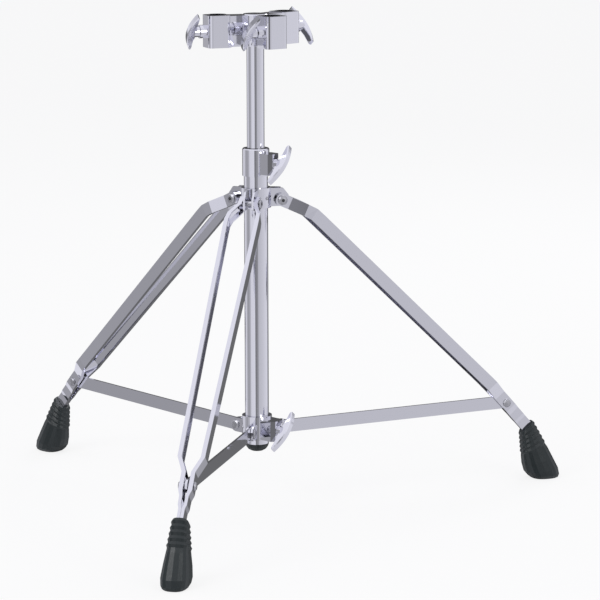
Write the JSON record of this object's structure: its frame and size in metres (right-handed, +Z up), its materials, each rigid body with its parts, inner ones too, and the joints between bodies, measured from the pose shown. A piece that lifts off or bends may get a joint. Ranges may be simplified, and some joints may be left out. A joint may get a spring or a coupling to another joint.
{
  "type": "double tom stand",
  "caption": "Chrome double tom stand: tripod with double-braced folding legs, sliding strut collar, height tube and a three-receiver bracket with wing bolts.",
  "frame": {"origin": "on the floor, under the middle of the stand's footprint", "axes": "+Z up the column, -Y towards the front leg, +X towards the right leg's side; X is the longest extent"},
  "size_m": [0.8344, 0.7272, 0.7219],
  "materials": {
    "chrome": "polished",
    "zinc_steel": "satin zinc",
    "black_rubber": "moulded matte",
    "black_nylon": "moulded matte"
  },
  "bodies": {
    "base": {"base_tube": "chrome", "base_tube_plug": "black_rubber", "upper_leg_collar": "chrome", "height_clamp": "chrome", "clamp_nut": "zinc_steel", "clamp_bush": "black_nylon", "leg_pivot_rivet_front": "zinc_steel", "leg_pivot_rivet_right": "zinc_steel", "leg_pivot_rivet_left": "zinc_steel"},
    "collar": {"lower_collar": "chrome", "collar_nut": "zinc_steel"},
    "leg_front": {"leg_brace_front_a": "chrome", "leg_brace_front_b": "chrome", "strut_stud_front_a": "zinc_steel", "strut_stud_front_b": "zinc_steel", "rubber_foot_front": "black_rubber"},
    "link_front": {"strut_front": "chrome", "strut_pivot_rivet_front": "zinc_steel"},
    "leg_right": {"leg_brace_right_a": "chrome", "leg_brace_right_b": "chrome", "strut_stud_right_a": "zinc_steel", "strut_stud_right_b": "zinc_steel", "rubber_foot_right": "black_rubber"},
    "link_right": {"strut_right": "chrome", "strut_pivot_rivet_right": "zinc_steel"},
    "leg_left": {"leg_brace_left_a": "chrome", "leg_brace_left_b": "chrome", "strut_stud_left_a": "zinc_steel", "strut_stud_left_b": "zinc_steel", "rubber_foot_left": "black_rubber"},
    "link_left": {"strut_left": "chrome", "strut_pivot_rivet_left": "zinc_steel"},
    "glide": {"tube_glide": "black_nylon"},
    "post": {"upper_tube": "chrome", "bracket_hub": "chrome", "receiver_left": "chrome", "receiver_right": "chrome", "receiver_side": "chrome"},
    "pad_clamp": {"clamp_shoe": "black_nylon"},
    "screw_clamp": {"height_wing_bolt": "chrome"},
    "pad_lower": {"collar_shoe": "black_nylon"},
    "screw_lower": {"collar_wing_bolt": "chrome"},
    "pad_left": {"receiver_shoe_left": "black_nylon"},
    "screw_left": {"receiver_wing_bolt_left": "chrome"},
    "pad_right": {"receiver_shoe_right": "black_nylon"},
    "screw_right": {"receiver_wing_bolt_right": "chrome"},
    "pad_side": {"receiver_shoe_side": "black_nylon"},
    "screw_side": {"receiver_wing_bolt_side": "chrome"}
  },
  "joints": [
    {"name": "collar_slide", "type": "slide", "parent": "base", "child": "collar", "axis": [0, 0, 1], "range_m": [0, 0.20821]},
    {"name": "leg_fold_front", "type": "hinge", "parent": "base", "child": "leg_front", "pos_m": [0, 0.07859, 0.4487], "axis": [1, 0, 0], "range_deg": [0, 43.51]},
    {"name": "strut_fold_front", "type": "hinge", "parent": "collar", "child": "link_front", "pos_m": [0, 0.07559, 0.1096], "axis": [1, 0, 0], "range_deg": [0, 87.34]},
    {"name": "leg_fold_right", "type": "hinge", "parent": "base", "child": "leg_right", "pos_m": [0.03118, 0.13259, 0.4487], "axis": [-0.5, 0.866, 0], "range_deg": [0, 43.51]},
    {"name": "strut_fold_right", "type": "hinge", "parent": "collar", "child": "link_right", "pos_m": [0.03377, 0.13409, 0.1096], "axis": [-0.5, 0.866, 0], "range_deg": [0, 87.34]},
    {"name": "leg_fold_left", "type": "hinge", "parent": "base", "child": "leg_left", "pos_m": [-0.03118, 0.13259, 0.4487], "axis": [-0.5, -0.866, 0], "range_deg": [0, 43.51]},
    {"name": "strut_fold_left", "type": "hinge", "parent": "collar", "child": "link_left", "pos_m": [-0.03377, 0.13409, 0.1096], "axis": [-0.5, -0.866, 0], "range_deg": [0, 87.34]},
    {"name": "height_slide", "type": "slide", "parent": "base", "child": "glide", "axis": [0, 0, 1], "range_m": [-0.13, 0.19]},
    {"name": "post_swivel", "type": "hinge", "parent": "glide", "child": "post", "pos_m": [0, 0.11459, 0.5], "axis": [0, 0, 1], "continuous": true},
    {"name": "pad_clamp_slide", "type": "slide", "parent": "base", "child": "pad_clamp", "axis": [0.866, -0.5, 0], "range_m": [0, 0.0026]},
    {"name": "screw_clamp_turn", "type": "hinge", "parent": "pad_clamp", "child": "screw_clamp", "pos_m": [0.02598, 0.09959, 0.50375], "axis": [0.866, -0.5, 0], "range_deg": [0, 720]},
    {"name": "pad_lower_slide", "type": "slide", "parent": "collar", "child": "pad_lower", "axis": [0.866, -0.5, 0], "range_m": [0, 0.0026]},
    {"name": "screw_lower_turn", "type": "hinge", "parent": "pad_lower", "child": "screw_lower", "pos_m": [0.02598, 0.09959, 0.112], "axis": [0.866, -0.5, 0], "range_deg": [0, 720]},
    {"name": "pad_left_slide", "type": "slide", "parent": "post", "child": "pad_left", "axis": [-0.829, -0.5592, 0], "range_m": [0, 0.0026]},
    {"name": "screw_left_turn", "type": "hinge", "parent": "pad_left", "child": "screw_left", "pos_m": [-0.07296, 0.06538, 0.695], "axis": [-0.829, -0.5592, 0], "range_deg": [0, 720]},
    {"name": "pad_right_slide", "type": "slide", "parent": "post", "child": "pad_right", "axis": [0.5299, 0.848, 0], "range_m": [0, 0.0026]},
    {"name": "screw_right_turn", "type": "hinge", "parent": "pad_right", "child": "screw_right", "pos_m": [0.04663, 0.18922, 0.695], "axis": [0.5299, 0.848, 0], "range_deg": [0, 720]},
    {"name": "pad_side_slide", "type": "slide", "parent": "post", "child": "pad_side", "axis": [-0.6947, -0.7193, 0], "range_m": [0, 0.0026]},
    {"name": "screw_side_turn", "type": "hinge", "parent": "pad_side", "child": "screw_side", "pos_m": [0.01081, 0.06244, 0.695], "axis": [-0.6947, -0.7193, 0], "range_deg": [0, 720]}
  ],
  "couplings": [
    {"joint": "leg_fold_front", "follows": "collar_slide", "rad_per_m": 3.6464},
    {"joint": "strut_fold_front", "follows": "collar_slide", "rad_per_m": 7.3208},
    {"joint": "leg_fold_right", "follows": "collar_slide", "rad_per_m": 3.6464},
    {"joint": "strut_fold_right", "follows": "collar_slide", "rad_per_m": 7.3208},
    {"joint": "leg_fold_left", "follows": "collar_slide", "rad_per_m": 3.6464},
    {"joint": "strut_fold_left", "follows": "collar_slide", "rad_per_m": 7.3208},
    {"joint": "pad_clamp_slide", "follows": "screw_clamp_turn", "m_per_rad": 0.0001989},
    {"joint": "pad_lower_slide", "follows": "screw_lower_turn", "m_per_rad": 0.0001989},
    {"joint": "pad_left_slide", "follows": "screw_left_turn", "m_per_rad": 0.0001989},
    {"joint": "pad_right_slide", "follows": "screw_right_turn", "m_per_rad": 0.0001989},
    {"joint": "pad_side_slide", "follows": "screw_side_turn", "m_per_rad": 0.0001989}
  ]
}
